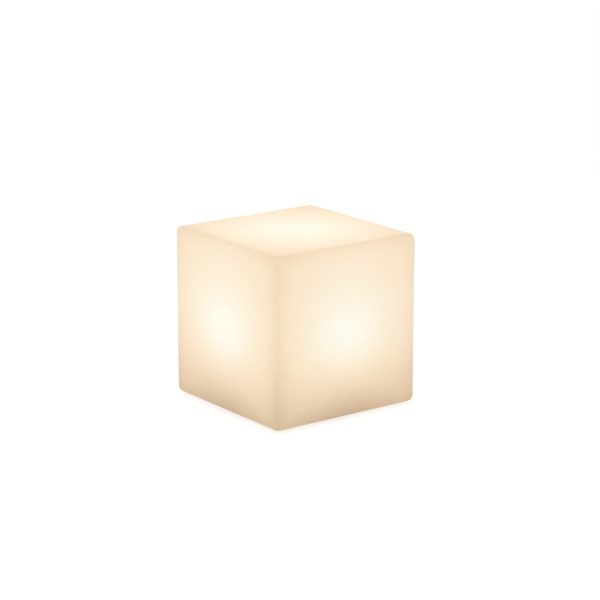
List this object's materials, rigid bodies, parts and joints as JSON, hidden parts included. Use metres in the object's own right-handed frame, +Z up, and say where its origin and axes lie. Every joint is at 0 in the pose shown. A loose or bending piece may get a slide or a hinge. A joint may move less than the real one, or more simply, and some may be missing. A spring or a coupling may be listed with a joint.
{
  "type": "led cube light",
  "caption": "Cordless glowing cube with round edges. A light module twists into its base, with a power button, a covered charging socket and a lamp post inside.",
  "frame": {"origin": "on the floor under the middle of the cube, in the plane of the feet's undersides", "axes": "+Z up; the front of the cube faces -Y and is the wide face on the right of the picture, the narrow face on its left is the -X side, and +X is to the right seen from the front"},
  "size_m": [0.2, 0.2, 0.202],
  "materials": {
    "glowing_polyethylene": "milky translucent polyethylene with a fine satin moulded skin, lit from inside to a warm white glow",
    "white_plastic": "fine spark-eroded texture",
    "housing_plastic": "satin moulded",
    "black_plastic": "satin moulded",
    "grey_plastic": "satin moulded",
    "gasket_foam": "closed-cell foam",
    "seal_silicone": "smooth silicone",
    "button_silicone": "matt silicone",
    "cover_rubber": "matt rubber",
    "foot_rubber": "matt rubber, slightly dusty",
    "screw_steel": "plain stainless",
    "brass": "machined",
    "socket_metal": "nickel plated",
    "nickel": "rolled strip with weld dimples",
    "clear_acrylic": "clear, polished",
    "green_board": "glass-fibre board with green lacquer",
    "white_board": "board with white reflecting lacquer",
    "chip_epoxy": "matt epoxy",
    "ferrite": "sintered ferrite",
    "capacitor_can": "drawn aluminium can",
    "connector_nylon": "natural nylon",
    "status_light": "clear epoxy lens",
    "led_phosphor": "yellow phosphor under clear silicone, lit",
    "cell_wrap": "heat-shrunk sleeve",
    "post_aluminium": "clear anodised extrusion",
    "dome_opal": "opal polycarbonate, frosted, lit",
    "lead_red": "extruded insulation",
    "lead_black": "extruded insulation"
  },
  "bodies": {
    "shell": {"cube_shell": "glowing_polyethylene", "mounting_ring": "white_plastic", "ring_gasket": "gasket_foam", "ring_inserts": "brass", "ring_screws": "screw_steel", "foot_front_left": "foot_rubber", "foot_front_right": "foot_rubber", "foot_rear_left": "foot_rubber", "foot_rear_right": "foot_rubber"},
    "light_module": {"base_tray": "white_plastic", "module_housing": "housing_plastic", "battery_cradle": "black_plastic", "housing_gasket": "gasket_foam", "dome_gasket": "gasket_foam", "tray_seal": "seal_silicone", "plug_anchor": "cover_rubber", "lead_grommet": "cover_rubber", "vent_plug": "grey_plastic", "switch_body": "black_plastic", "socket_tongue": "black_plastic", "socket_shell": "socket_metal", "light_pipe": "clear_acrylic", "control_board": "green_board", "charger_chip": "chip_epoxy", "driver_chip": "chip_epoxy", "choke_coil": "ferrite", "capacitors": "capacitor_can", "led_connector": "connector_nylon", "battery_connector": "connector_nylon", "status_led": "status_light", "cell_front": "cell_wrap", "cell_rear": "cell_wrap", "joining_strip": "nickel", "strip_front": "nickel", "strip_rear": "nickel", "heat_sink_post": "post_aluminium", "lamp_dome": "dome_opal", "light_lead_left": "lead_red", "light_lead_right": "lead_black", "battery_lead_front": "lead_red", "battery_lead_rear": "lead_black", "board_screws": "screw_steel", "cradle_screws": "screw_steel", "housing_screws": "screw_steel", "sink_screws": "screw_steel", "light_board_screws": "screw_steel", "dome_screws": "screw_steel", "light_board_front": "white_board", "leds_front": "led_phosphor", "light_board_right": "white_board", "leds_right": "led_phosphor", "light_board_rear": "white_board", "leds_rear": "led_phosphor", "light_board_left": "white_board", "leds_left": "led_phosphor", "light_board_top": "white_board", "leds_top": "led_phosphor"},
    "power_button": {"power_button": "button_silicone", "switch_plunger": "grey_plastic"},
    "port_plug": {"port_plug": "cover_rubber"}
  },
  "joints": [
    {"name": "module_twist", "type": "hinge", "parent": "shell", "child": "light_module", "pos_m": [0, 0, 0.0032], "axis": [0, 0, -1], "range_deg": [0, 30]},
    {"name": "button_press", "type": "slide", "parent": "light_module", "child": "power_button", "axis": [0, 0, 1], "range_m": [0, 0.0012], "stiffness_N_per_m": 1500, "springref_m": -0.0005},
    {"name": "socket_cover_hinge", "type": "hinge", "parent": "light_module", "child": "port_plug", "pos_m": [-0.01387, 0.0295, 0.0163], "axis": [0, 1, 0], "range_deg": [0, 110]}
  ]
}
